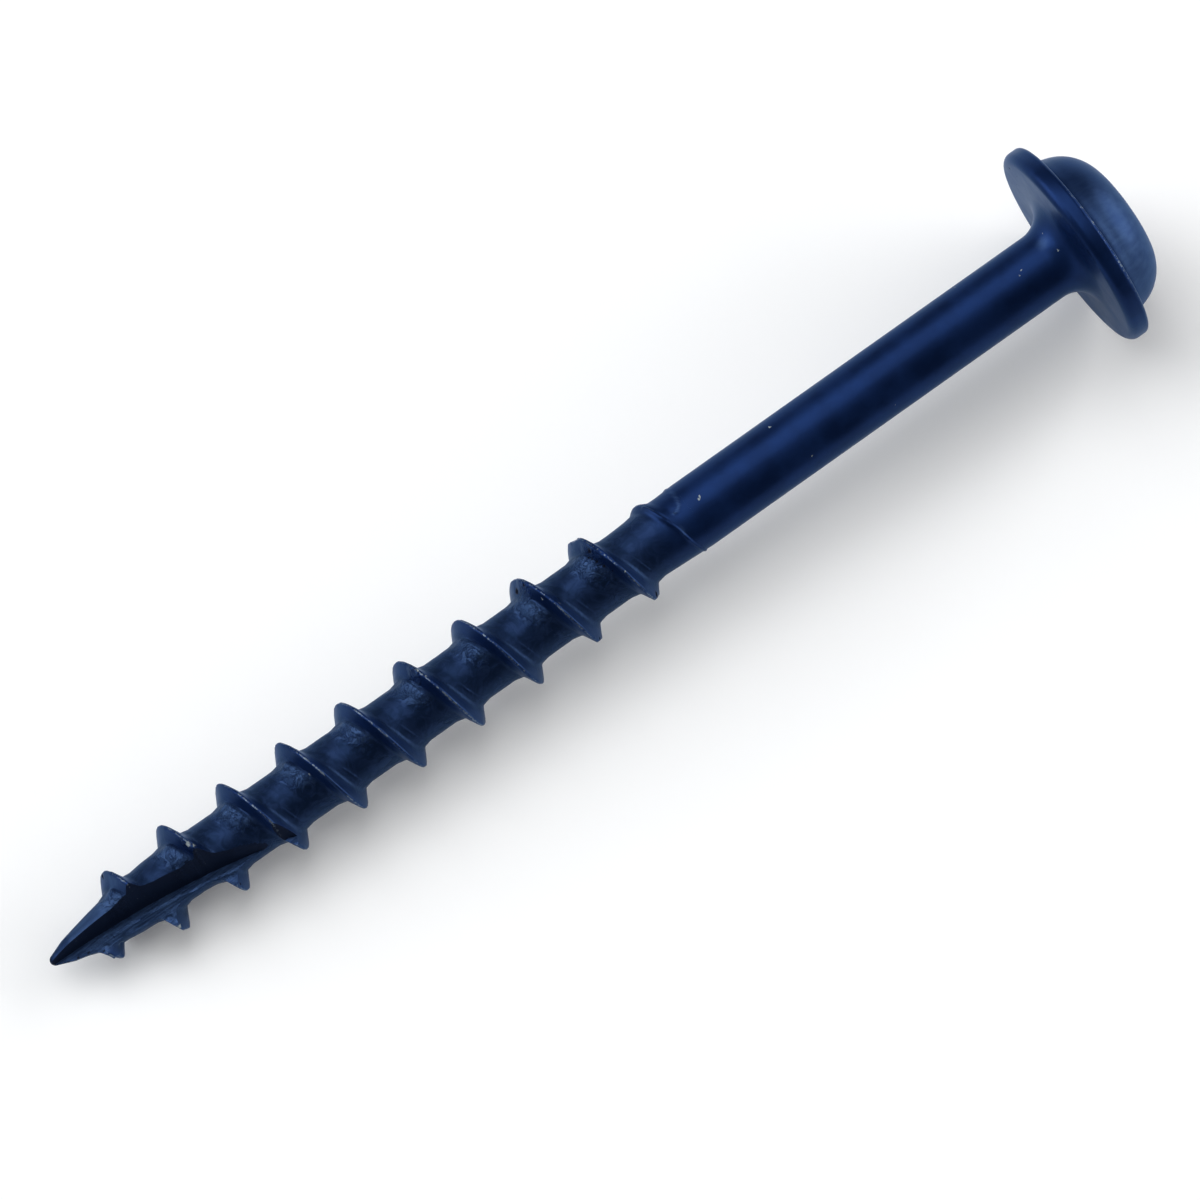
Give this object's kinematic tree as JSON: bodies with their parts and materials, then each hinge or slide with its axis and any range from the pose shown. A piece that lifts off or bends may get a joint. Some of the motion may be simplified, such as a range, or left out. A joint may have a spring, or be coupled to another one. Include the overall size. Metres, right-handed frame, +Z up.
{
  "type": "pocket hole screw",
  "caption": "Washer-head wood screw with a plain shank, a coarse thread, an auger notch at its point and a square drive, lying on its side.",
  "frame": {"origin": "on the ground under the middle of the screw's length, in the plane of its axis", "axes": "+X along the screw from its point to its head, +Z up; the axis rises about 3.2 degrees towards the head, because the screw lies on its washer's rim and on its thread"},
  "size_m": [0.0538, 0.0092, 0.0092],
  "materials": {
    "blue_coating": "satin dark blue coating on hardened steel, worn at the thread's crests"
  },
  "bodies": {
    "root": {"screw": "blue_coating"}
  },
  "joints": []
}
